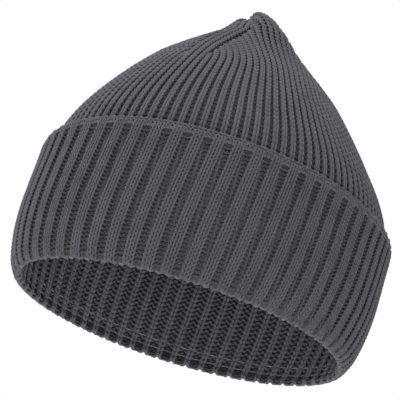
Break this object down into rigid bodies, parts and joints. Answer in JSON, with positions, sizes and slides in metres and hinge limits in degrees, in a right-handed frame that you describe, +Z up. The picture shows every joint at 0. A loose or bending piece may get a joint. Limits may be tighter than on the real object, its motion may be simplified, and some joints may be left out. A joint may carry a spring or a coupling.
{
  "type": "knit beanie",
  "caption": "Soft rib-knit beanie with a tall turned-up cuff, an oval head opening and a pointed crown with four decrease lines.",
  "frame": {"origin": "centre of the oval rim, on the plane that the turned edge rests on", "axes": "+Z up through the crown, +Y along the oval's length towards the back of the head, +X across its width"},
  "size_m": [0.1874, 0.2182, 0.196],
  "materials": {
    "rib_yarn": "matte charcoal wool-blend yarn, 1x1 rib, slight fuzz",
    "band_yarn": "matte charcoal wool-blend yarn, heavy 1x1 rib",
    "cuff_yarn": "matte charcoal wool-blend yarn, 2x2 rib, slight fuzz",
    "edge_yarn": "the same yarn pulled tight in a cast-on chain, a little paler",
    "elastic_thread": "thin pale covered elastic thread"
  },
  "bodies": {
    "root": {"cuff_knit": "cuff_yarn", "cuff_edge_chain": "edge_yarn", "inner_band_knit": "band_yarn", "crown_wall_knit": "rib_yarn", "crown_gore_1": "rib_yarn", "crown_gore_2": "rib_yarn", "crown_gore_3": "rib_yarn", "crown_gore_4": "rib_yarn", "crown_spine_1": "rib_yarn", "crown_spine_2": "rib_yarn", "crown_spine_3": "rib_yarn", "crown_spine_4": "rib_yarn", "crown_tack": "rib_yarn", "elastic_thread_lower": "elastic_thread", "elastic_thread_upper": "elastic_thread"}
  },
  "joints": []
}
